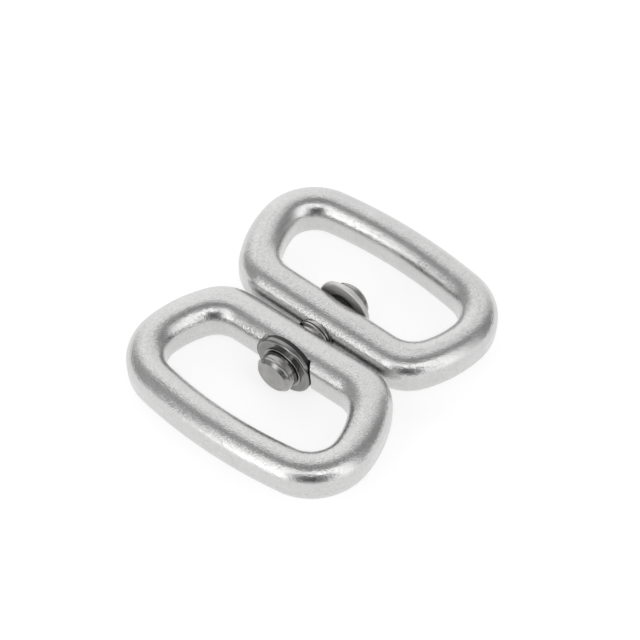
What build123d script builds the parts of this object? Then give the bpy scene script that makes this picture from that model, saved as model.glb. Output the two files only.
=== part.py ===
from build123d import *
import os

# Anchor swivel: two D-shaped aluminium rings joined nose to nose by a steel swivel pin.
# Frame: X along the rings' long side, Y along the pin (the front ring is at -Y), Z up.
# The origin is on the pin's axis, midway between the rings. All sizes are millimetres.

FRONT, REAR = -1, 1
ENDS = (FRONT, REAR)

# ---- rings -------------------------------------------------------------------------
ring_gap = 1.05           # between the two rings' pin bars
ring_thickness = 10.1     # along Z
pin_bar = 9.5             # width of the bar that the pin goes through
edge_round = 4.0          # rounding of every long edge of the bars
front_swing = -3.0        # degrees about +Y: the front ring leans on one end

# Each outline leaves the straight pin side through (radius, turn in degrees):
# the near corner, the bowed end and the far corner. A long arc closes the far side.
outer_straight = 16.7
outer_arcs = ((11.0, 57.6), (30.6, 28.4), (14.1, 84.9))
inner_straight = 14.75
inner_arcs = ((5.6, 61.2), (20.3, 21.4), (5.6, 87.7))

# ---- pin and what turns on it ------------------------------------------------------
shank_radius = 3.0
running_clearance = 0.05  # radial, between the shank and what turns on it
washer_clearance = 0.08   # radial, inside the loose washers
end_play = 0.03           # along the pin, between faces that slide on each other
bore_radius = 3.6         # hole in each pin bar
seat_radius = {FRONT: 7.5, REAR: 4.2}        # spot faced round the bore, in the ring's opening
seat_depth = {FRONT: 1.85, REAR: 0.3}        # the front one is deeper and takes the washer too
sleeve_flange_radius = 4.2
sleeve_flange = 0.35
sleeve_length = 3.2       # steel sleeve inside the ring, from the gap side
bush_flange_radius = {FRONT: 6.75, REAR: 3.95}
bush_flange = {FRONT: 0.95, REAR: 0.3}
washer_radius = {FRONT: 7.1, REAR: 6.65}
washer_thickness = 1.32
washer_front_round = 0.45
washer_back_round = 0.3
collar_radius = 5.0
collar_thickness = 0.38
collar_round = 0.12
neck_radius = 4.0         # groove between the collar and the head
neck_length = 0.26
head_radius = 4.5
head_end = 14.2           # flat end face, counted from the middle of the gap
head_bevel = 0.75
head_round = 0.26         # rounding of both edges of the bevel
head_line = 1.35          # a fine turned line round the head, this far from the end face
head_line_depth = 0.1
cap_socket = 1.2          # how deep the shank goes into the rear cap

# ---- places along the pin, counted from the middle of the gap ----------------------
gap_face = ring_gap / 2
opening_face = gap_face + pin_bar
seat_face = {side: opening_face - seat_depth[side] for side in ENDS}
bush_face = {side: seat_face[side] + bush_flange[side] for side in ENDS}
washer_start = {side: bush_face[side] + end_play for side in ENDS}
washer_end = {side: washer_start[side] + washer_thickness for side in ENDS}
collar_start = {side: washer_end[side] + end_play for side in ENDS}
collar_end = {side: collar_start[side] + collar_thickness for side in ENDS}
neck_end = {side: collar_end[side] + neck_length for side in ENDS}
spacer_half = gap_face - sleeve_flange - end_play


def ring_outline(side, pin_y, half_straight, arcs, mode=Mode.ADD):
    """A closed D-shaped face, symmetric about the YZ plane, on the given side of the pin's gap."""
    with BuildLine() as outline:
        point, direction = (half_straight, side * pin_y), (1, 0)
        for radius, turn in arcs:
            arc = JernArc(start=point, tangent=direction, radius=radius, arc_size=side * turn)
            point, direction = arc @ 1, arc % 1
        mirror(about=Plane.YZ)
        Line((-half_straight, side * pin_y), (half_straight, side * pin_y))
        TangentArc(point, (-point.X, point.Y), tangent=direction)
    make_face(outline.edges(), mode=mode)


def make_ring(side, swing, label):
    """A rounded D ring, bored through its pin bar and spot-faced round the bore in its opening."""
    ring_plane = Plane.XY.rotated((0, swing, 0))
    with BuildPart() as ring:
        with BuildSketch(ring_plane.offset(-ring_thickness / 2)):
            ring_outline(side, gap_face, outer_straight, outer_arcs)
            ring_outline(side, opening_face, inner_straight, inner_arcs, mode=Mode.SUBTRACT)
        extrude(amount=ring_thickness)
        top_and_bottom = ring.faces().sort_by(SortBy.AREA)[-2:]
        fillet(top_and_bottom.edges(), radius=edge_round)
        with BuildSketch(Plane.XZ):
            Circle(bore_radius)
        extrude(amount=-side * opening_face, mode=Mode.SUBTRACT)
        with BuildSketch(Plane.XZ.offset(-side * seat_face[side])):
            Circle(seat_radius[side])
        extrude(amount=-side * (seat_depth[side] + edge_round), mode=Mode.SUBTRACT)
    finish(ring, label)


def turned(profile, label, rounds=()):
    """A solid of revolution about the pin's axis, from (radius, place along Y) points.

    Each of the rounds is one of those points and the radius that its edge is rounded to."""
    with BuildPart() as piece:
        with BuildSketch(Plane.XY) as section:
            with BuildLine():
                Polyline(*profile, close=True)
            make_face()
            for corner, radius in rounds:
                fillet(section.vertices().sort_by_distance(corner)[0], radius=radius)
        revolve(axis=Axis.Y)
    finish(piece, label)


def finish(piece, label):
    """Names a finished piece and writes it to its own file."""
    piece.part.label = label
    export_step(piece.part, f"parts/{label}.step")


def make_sleeve(side, label):
    """Steel sleeve pressed into the ring from the gap side, with a thin flange in the gap."""
    inner = shank_radius + running_clearance
    flange_face = side * (gap_face - sleeve_flange)
    seat = side * gap_face
    inside_end = side * (gap_face + sleeve_length)
    turned(
        [
            (inner, flange_face),
            (sleeve_flange_radius, flange_face),
            (sleeve_flange_radius, seat),
            (bore_radius, seat),
            (bore_radius, inside_end),
            (inner, inside_end),
        ],
        label,
    )


def make_bush(side, label):
    """Polymer bush pressed into the ring from its opening, with a flange that the washer runs on."""
    inner = shank_radius + running_clearance
    inside_end = side * (gap_face + sleeve_length)
    seat = side * seat_face[side]
    flange_face = side * bush_face[side]
    turned(
        [
            (inner, inside_end),
            (bore_radius, inside_end),
            (bore_radius, seat),
            (bush_flange_radius[side], seat),
            (bush_flange_radius[side], flange_face),
            (inner, flange_face),
        ],
        label,
    )


def make_washer(side, label):
    """Thick loose steel washer with a rounded rim."""
    inner = shank_radius + washer_clearance
    outer_back = (washer_radius[side], side * washer_start[side])
    outer_front = (washer_radius[side], side * washer_end[side])
    turned(
        [(inner, outer_back[1]), outer_back, outer_front, (inner, outer_front[1])],
        label,
        [(outer_back, washer_back_round), (outer_front, washer_front_round)],
    )


def make_collar(side, label):
    """Narrow steel collar pressed on the shank, between the loose washer and the head."""
    back = side * collar_start[side]
    outer_front = (collar_radius, side * collar_end[side])
    turned(
        [(shank_radius, back), (collar_radius, back), outer_front, (shank_radius, outer_front[1])],
        label,
        [(outer_front, collar_round)],
    )


def head_profile(side):
    """Outer line of a head, from the collar to the end face: neck, cylinder, fine line and bevel."""
    line = head_end - head_line
    return [
        (neck_radius, side * collar_end[side]),
        (neck_radius, side * neck_end[side]),
        (head_radius, side * neck_end[side]),
        (head_radius, side * (line - head_line_depth)),
        (head_radius - head_line_depth, side * line),
        (head_radius, side * (line + head_line_depth)),
        (head_radius, side * (head_end - head_bevel)),
        (head_radius - head_bevel, side * head_end),
        (0, side * head_end),
    ]


def head_rounds(side):
    """The two edges of a head's bevel, and the rounding of both."""
    edges = head_profile(side)[-3:-1]
    return [(edge, head_round) for edge in edges]


def make_pin():
    """Turned pin: the front head and the shank that runs through both rings."""
    shank_end = collar_end[REAR] + cap_socket
    shank = [(0, shank_end), (shank_radius, shank_end), (shank_radius, -collar_end[FRONT])]
    turned(head_profile(FRONT) + shank, "swivel_pin", head_rounds(FRONT))


def make_cap():
    """Cap pressed on the shank's rear end. It has the front head's shape and a blind socket."""
    socket_end = collar_end[REAR] + cap_socket
    socket = [(0, socket_end), (shank_radius, socket_end), (shank_radius, collar_end[REAR])]
    turned(socket + head_profile(REAR), "rear_cap", head_rounds(REAR))


def make_spacer():
    """Thin black washer in the gap, between the two sleeves' flanges."""
    inner = shank_radius + washer_clearance
    outer = sleeve_flange_radius - end_play
    turned(
        [(inner, -spacer_half), (outer, -spacer_half), (outer, spacer_half), (inner, spacer_half)],
        "gap_washer",
    )


os.makedirs("parts", exist_ok=True)

make_ring(FRONT, front_swing, "front_ring")
make_ring(REAR, 0, "rear_ring")
make_pin()
make_cap()
make_spacer()
for side, end in zip(ENDS, ("front", "rear")):
    make_sleeve(side, f"{end}_sleeve")
    make_bush(side, f"{end}_bush")
    make_washer(side, f"{end}_washer")
    make_collar(side, f"{end}_collar")
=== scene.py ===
import math

import bpy
from mathutils import Matrix, Vector


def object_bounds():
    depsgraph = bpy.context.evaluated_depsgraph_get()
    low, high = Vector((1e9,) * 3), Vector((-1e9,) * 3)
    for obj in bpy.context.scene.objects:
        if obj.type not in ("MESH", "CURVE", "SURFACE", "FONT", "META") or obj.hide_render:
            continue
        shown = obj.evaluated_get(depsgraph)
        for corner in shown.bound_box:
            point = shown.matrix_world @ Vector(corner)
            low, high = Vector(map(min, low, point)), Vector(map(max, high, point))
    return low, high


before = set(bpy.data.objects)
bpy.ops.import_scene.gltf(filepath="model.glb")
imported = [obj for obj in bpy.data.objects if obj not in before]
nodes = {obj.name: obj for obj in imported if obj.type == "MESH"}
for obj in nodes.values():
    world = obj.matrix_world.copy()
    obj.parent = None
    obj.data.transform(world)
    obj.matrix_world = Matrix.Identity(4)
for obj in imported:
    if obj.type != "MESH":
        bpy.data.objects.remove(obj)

MM = 0.001
cad_low, cad_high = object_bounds()


# ---- node helpers ------------------------------------------------------------------
# Texture scales count cells per metre, and bump distances are in metres.
class Graph:
    """Builds a shader tree: its calls make nodes and return output sockets to link onward."""

    def __init__(self, tree):
        self.tree = tree
        tree.nodes.clear()

    def feed(self, socket, value):
        """Links the socket to another node's output, or sets it to a plain value."""
        if isinstance(value, bpy.types.NodeSocket):
            self.tree.links.new(value, socket)
        else:
            socket.default_value = value

    def node(self, kind, inputs=None, output=0, **settings):
        made = self.tree.nodes.new(kind)
        for name, value in settings.items():
            setattr(made, name, value)
        for name, value in (inputs or {}).items():
            self.feed(made.inputs[name], value)
        return made.outputs[output]

    def coordinates(self, kind):
        return self.node("ShaderNodeTexCoord", output=kind)

    def math(self, operation, first, second=0.0):
        return self.node("ShaderNodeMath", {0: first, 1: second}, operation=operation)

    def weighted(self, first, first_weight, second, second_weight):
        """The sum of two values, each times its weight."""
        return self.math(
            "ADD",
            self.math("MULTIPLY", first, first_weight),
            self.math("MULTIPLY", second, second_weight),
        )

    def vector_math(self, operation, inputs, output="Vector"):
        return self.node("ShaderNodeVectorMath", inputs, output, operation=operation)

    def vector(self, x, y, z):
        return self.node("ShaderNodeCombineXYZ", {"X": x, "Y": y, "Z": z})

    def split(self, vector):
        """A vector's X, Y and Z sockets."""
        parts = self.tree.nodes.new("ShaderNodeSeparateXYZ")
        self.feed(parts.inputs[0], vector)
        return parts.outputs

    def noise(self, place, scale, detail, roughness):
        inputs = {"Vector": place, "Scale": scale, "Detail": detail, "Roughness": roughness}
        return self.node("ShaderNodeTexNoise", inputs, "Fac")

    def voronoi(self, place, scale, output):
        return self.node("ShaderNodeTexVoronoi", {"Vector": place, "Scale": scale}, output)

    def spread(self, value, old_range, new_range, smooth=False):
        """Stretches one range to another and clamps what lies outside."""
        inputs = {"Value": value}
        inputs.update(enumerate((*old_range, *new_range), start=1))
        kind = "SMOOTHSTEP" if smooth else "LINEAR"
        return self.node("ShaderNodeMapRange", inputs, interpolation_type=kind, clamp=True)

    def mix(self, factor, first, second):
        """Mixes two colours. Inputs 6 and 7 and output 2 are the mix node's colour sockets."""
        inputs = {0: factor, 6: first, 7: second}
        return self.node("ShaderNodeMix", inputs, 2, data_type="RGBA")

    def bump(self, height, strength, distance, normal=None):
        """A bumped normal. The bumps stand on the given normal, or else on the surface's own."""
        inputs = {"Height": height, "Strength": strength, "Distance": distance}
        if normal is not None:
            inputs["Normal"] = normal
        return self.node("ShaderNodeBump", inputs)

    def facets(self, cells, tilt):
        """The surface's normal, leaned a little to its own side in each of the coloured cells."""
        lean = self.vector_math("SUBTRACT", {0: cells, 1: (0.5, 0.5, 0.5)})
        lean = self.vector_math("SCALE", {0: lean, "Scale": tilt})
        normal = self.node("ShaderNodeNewGeometry", output="Normal")
        return self.vector_math("NORMALIZE", {0: self.vector_math("ADD", {0: normal, 1: lean})})

    def surface(self, **inputs):
        """Ends the tree in a Principled shader. Underscores stand for the spaces in its sockets."""
        inputs = {name.replace("_", " "): value for name, value in inputs.items()}
        self.end(self.node("ShaderNodeBsdfPrincipled", inputs), "ShaderNodeOutputMaterial")

    def end(self, shader, kind):
        out = self.tree.nodes.new(kind)
        self.tree.links.new(shader, out.inputs["Surface"])


def new_material(name):
    material = bpy.data.materials.new(name)
    material.use_nodes = True
    return material, Graph(material.node_tree)


def grey(value, warmth=0.0):
    return (value * (1 + warmth), value, value * (1 - warmth), 1.0)


# ---- materials ---------------------------------------------------------------------
ZERO_TO_ONE = (0.0, 1.0)
NOISE_RANGE = (0.3, 0.7)      # where nearly all of a noise texture's values lie
RIM_HIGHLIGHT_LIMIT = 0.8        # the lightest that the painted highlight makes a steel rim


def blasted_aluminium():
    """Bead-blasted and clear anodised: a satin surface of fine dimples and small tilted facets."""
    material, g = new_material("blasted_aluminium")
    place = g.coordinates("Object")

    # The long edges' roundings, where the surface is about halfway between level and upright.
    level = g.math("ABSOLUTE", g.split(g.coordinates("Normal"))["Z"])
    off_rounding = g.math("ABSOLUTE", g.math("SUBTRACT", level, 0.7))
    rounded = g.math("SUBTRACT", 1.0, g.spread(off_rounding, (0.1, 0.3), ZERO_TO_ONE, smooth=True))

    dimples = g.voronoi(place, 3500.0, "Distance")
    cells = g.voronoi(place, 4300.0, "Color")
    grain = g.noise(place, 3900.0, detail=2.0, roughness=0.6)
    cloud = g.noise(place, 170.0, detail=4.0, roughness=0.55)
    pit = g.spread(g.voronoi(place, 420.0, "Distance"), (0.03, 0.09), (1.0, 0.0), smooth=True)

    tone = g.spread(g.weighted(grain, 0.6, cloud, 0.4), NOISE_RANGE, ZERO_TO_ONE)
    fleck = g.spread(cells, (0.25, 0.75), ZERO_TO_ONE)
    tone = g.weighted(tone, 0.65, fleck, 0.35)
    colour = g.mix(tone, grey(0.53, 0.004), grey(0.69, 0.004))
    colour = g.mix(g.math("MULTIPLY", pit, 0.5), colour, grey(0.34, 0.006))

    roughness = g.spread(g.weighted(cloud, 0.5, grain, 0.5), NOISE_RANGE, (0.12, 0.17))
    roughness = g.math("SUBTRACT", roughness, g.math("MULTIPLY", rounded, 0.03))

    height = g.weighted(dimples, 0.7, grain, 0.8)
    height = g.math("SUBTRACT", height, g.math("MULTIPLY", pit, 0.8))
    facets = g.facets(cells, tilt=0.09)
    g.surface(
        Base_Color=colour,
        Metallic=1.0,
        Roughness=roughness,
        Normal=g.bump(height, strength=0.8, distance=0.00005, normal=facets),
    )
    return material


def lathe_steel(name, tones, roughness, lines, rim):
    """Stainless steel with the fine rings a lathe leaves, and a painted highlight that lightens its
    rim.

    The tones are its darkest and lightest, the lines are per metre, and the rim with the painted
    highlight runs from one radius to another in millimetres."""
    material, g = new_material(name)
    place = g.coordinates("Object")
    x, y, z = g.split(place)
    radius = g.vector_math("LENGTH", {0: g.vector(x, 0.0, z)}, "Value")
    angle = g.math("ARCTAN2", z, x)
    turned = g.vector(
        g.math("MULTIPLY", radius, lines),
        g.math("MULTIPLY", y, lines),
        g.math("MULTIPLY", angle, 0.6),
    )
    rings = g.noise(turned, 1.0, detail=3.0, roughness=0.65)
    cloud = g.noise(place, 600.0, detail=3.0, roughness=0.6)
    scuffs = g.noise(place, 4500.0, detail=2.0, roughness=0.6)
    # Painted highlight: the outer rim is made lighter and a little glossier, to stand for the rim's
    # reflection.
    rim_highlight = g.spread(radius, [edge * MM for edge in rim], ZERO_TO_ONE, smooth=True)

    dark, light = tones
    tone = g.spread(g.weighted(rings, 0.45, cloud, 0.55), NOISE_RANGE, ZERO_TO_ONE)
    colour = g.mix(tone, grey(dark, 0.012), grey(light, 0.012))
    # The colour of the painted highlight on the rim.
    rim_highlight_colour = grey(min(RIM_HIGHLIGHT_LIMIT, light * 1.25), 0.008)
    colour = g.mix(g.math("MULTIPLY", rim_highlight, 0.35), colour, rim_highlight_colour)

    dullness = g.spread(g.weighted(scuffs, 0.5, cloud, 0.5), NOISE_RANGE, roughness)
    height = g.weighted(rings, 0.7, scuffs, 0.35)
    g.surface(
        Base_Color=colour,
        Metallic=1.0,
        Roughness=g.math("SUBTRACT", dullness, g.math("MULTIPLY", rim_highlight, 0.04)),
        Normal=g.bump(height, strength=0.3, distance=0.00002),
    )
    return material


def black_polymer():
    """Dull moulded acetal with a faint grain."""
    material, g = new_material("black_polymer")
    place = g.coordinates("Object")
    grain = g.noise(place, 6000.0, detail=3.0, roughness=0.6)
    cloud = g.noise(place, 500.0, detail=3.0, roughness=0.5)
    tone = g.spread(cloud, (0.35, 0.65), ZERO_TO_ONE)
    g.surface(
        Base_Color=g.mix(tone, grey(0.010), grey(0.022)),
        Metallic=0.0,
        Roughness=g.spread(grain, NOISE_RANGE, (0.42, 0.58)),
        Normal=g.bump(grain, strength=0.25, distance=0.00002),
    )
    return material


def dress(material, *names):
    for name in names:
        for slot in nodes[name].material_slots:
            slot.material = material


# Each steel: name, pieces, tones, roughness, lathe lines per metre, rim with the painted highlight
# in millimetres.
STEELS = (
    ("turned_steel", ("swivel_pin", "rear_cap"), (0.26, 0.38), (0.10, 0.20), 9000.0, (3.6, 4.7)),
    (
        "collar_steel", ("front_collar", "rear_collar"),
        (0.24, 0.36), (0.16, 0.28), 9000.0, (4.7, 5.1),
    ),
    ("washer_steel", ("front_washer",), (0.17, 0.27), (0.14, 0.24), 5000.0, (6.2, 6.8)),
    # The rear washer is the same washer as the front one. Its far lighter tones are painted light
    # for the sky its back face catches, while its greater roughness is its own duller finish.
    ("dull_painted_lit_steel", ("rear_washer",), (0.58, 0.74), (0.46, 0.60), 5000.0, (6.2, 6.8)),
    (
        "sleeve_steel", ("front_sleeve", "rear_sleeve"),
        (0.36, 0.50), (0.18, 0.30), 9000.0, (4.1, 4.5),
    ),
)

dress(blasted_aluminium(), "front_ring", "rear_ring")
for name, pieces, tones, roughness, lines, rim in STEELS:
    dress(lathe_steel(name, tones, roughness, lines, rim), *pieces)
dress(black_polymer(), "front_bush", "rear_bush", "gap_washer")


# ---- floor and light ---------------------------------------------------------------
FLOOR_HALF = 12.0             # metres, so that its edge stays out of low views

# The tent's cloth seen from the object, as (azimuth in degrees, brightness). Azimuth 0 is in
# front (-Y) and 90 to the right (+X). The camera looks in through the darkest part.
CLOTH = (
    (-180, 0.96), (-150, 1.04), (-120, 1.24), (-104, 1.00), (-87, 0.48), (-66, 0.42),
    (-46, 0.48), (-32, 0.42), (-20, 1.80), (-9, 2.15), (3, 0.98), (12, 0.44), (22, 0.22),
    (32, 0.13), (43, 0.06), (56, 0.24), (67, 0.64), (79, 1.44), (91, 1.78), (104, 1.10),
    (120, 0.52), (138, 0.30), (156, 0.36), (170, 0.64), (180, 0.96),
)
BRIGHTEST = 2.2               # the cloth's brightness where its ramp would be white
ROOF = 0.37                   # the roof's brightness
ROOF_EDGE = (0.82, 0.97)      # sine of the elevations between which the cloth fades into the roof

# Soft lamps in the tent: direction, inner and outer angle from it in degrees, added brightness.
LAMPS = (
    ((0.30, -0.47, 0.83), 5.0, 13.0, 2.0),
    ((0.50, -0.24, 0.83), 5.0, 13.0, 1.2),
    ((-0.17, -0.98, 0.03), 5.0, 13.0, 1.5),
)


def make_floor():
    """A plain pale floor under the part, with light of its own so that it renders near white."""
    mesh = bpy.data.meshes.new("floor")
    level = cad_low.z
    signs = ((-1, -1), (1, -1), (1, 1), (-1, 1))
    corners = [(x * FLOOR_HALF, y * FLOOR_HALF, level) for x, y in signs]
    mesh.from_pydata(corners, [], [(0, 1, 2, 3)])
    floor = bpy.data.objects.new("floor", mesh)
    bpy.context.collection.objects.link(floor)
    material, g = new_material("floor_white")
    cloud = g.noise(g.coordinates("Object"), 8.0, detail=2.0, roughness=0.5)
    g.surface(
        Base_Color=g.mix(cloud, grey(0.42), grey(0.45)),
        Roughness=0.9,
        Specular_IOR_Level=0.1,
        Emission_Color=(1, 1, 1, 1),
        Emission_Strength=0.71,
    )
    floor.data.materials.append(material)


def cloth_light(g, x, y):
    """The cloth's brightness toward a direction, read from a ramp that runs once round the tent."""
    azimuth = g.math("ARCTAN2", x, g.math("MULTIPLY", y, -1.0))
    ramp = g.tree.nodes.new("ShaderNodeValToRGB")
    ramp.color_ramp.interpolation = "B_SPLINE"
    g.feed(ramp.inputs["Fac"], g.spread(azimuth, (-math.pi, math.pi), ZERO_TO_ONE))
    stops = ramp.color_ramp.elements
    while len(stops) < len(CLOTH):
        stops.new(0.5)
    for stop, (degrees, brightness) in zip(stops, CLOTH):
        stop.position = (degrees + 180) / 360
        stop.color = grey(brightness / BRIGHTEST)
    return g.math("MULTIPLY", ramp.outputs["Color"], BRIGHTEST)


def tent_light():
    """A light tent: pale cloth with brighter and dimmer parts, a dim roof and three soft lamps."""
    world = bpy.data.worlds.new("light_tent")
    bpy.context.scene.world = world
    world.use_nodes = True
    g = Graph(world.node_tree)
    where = g.coordinates("Generated")
    x, y, z = g.split(where)
    roof = g.spread(z, ROOF_EDGE, ZERO_TO_ONE, smooth=True)
    light = g.weighted(cloth_light(g, x, y), g.math("SUBTRACT", 1.0, roof), roof, ROOF)
    for direction, inner, outer, brightness in LAMPS:
        inputs = {0: where, 1: Vector(direction).normalized()}
        facing = g.vector_math("DOT_PRODUCT", inputs, "Value")
        edges = [math.cos(math.radians(angle)) for angle in (outer, inner)]
        light = g.math("ADD", light, g.spread(facing, edges, (0.0, brightness), smooth=True))
    background = g.node("ShaderNodeBackground", {"Color": (1, 1, 1, 1), "Strength": light})
    g.end(background, "ShaderNodeOutputWorld")


make_floor()
tent_light()


# ---- camera ------------------------------------------------------------------------
def make_camera(azimuth, elevation, roll, distance, target, lens):
    """A camera looking at the target. Angles are in radians and lengths in metres."""
    back = Vector((
        math.sin(azimuth) * math.cos(elevation),
        -math.cos(azimuth) * math.cos(elevation),
        math.sin(elevation),
    ))
    right = Vector((math.cos(azimuth), math.sin(azimuth), 0.0))
    up = back.cross(right)
    right, up = (
        right * math.cos(roll) + up * math.sin(roll),
        up * math.cos(roll) - right * math.sin(roll),
    )
    place = target + back * distance
    camera = bpy.data.objects.new("camera", bpy.data.cameras.new("camera"))
    camera.data.lens = lens
    camera.data.sensor_width = 36.0
    camera.data.clip_start, camera.data.clip_end = 0.01, 20.0
    camera.matrix_world = Matrix((
        (right.x, up.x, back.x, place.x),
        (right.y, up.y, back.y, place.y),
        (right.z, up.z, back.z, place.z),
        (0, 0, 0, 1),
    ))
    bpy.context.collection.objects.link(camera)
    bpy.context.scene.camera = camera


make_camera(
    azimuth=0.6586,
    elevation=0.9166,
    roll=0.0302,
    distance=0.42863,
    target=Vector((-0.001774, 0.004377, 0.0)),
    lens=110.77,
)

view = bpy.context.scene.view_settings
view.view_transform = "Standard"
view.look = "None"
view.exposure = 0.0
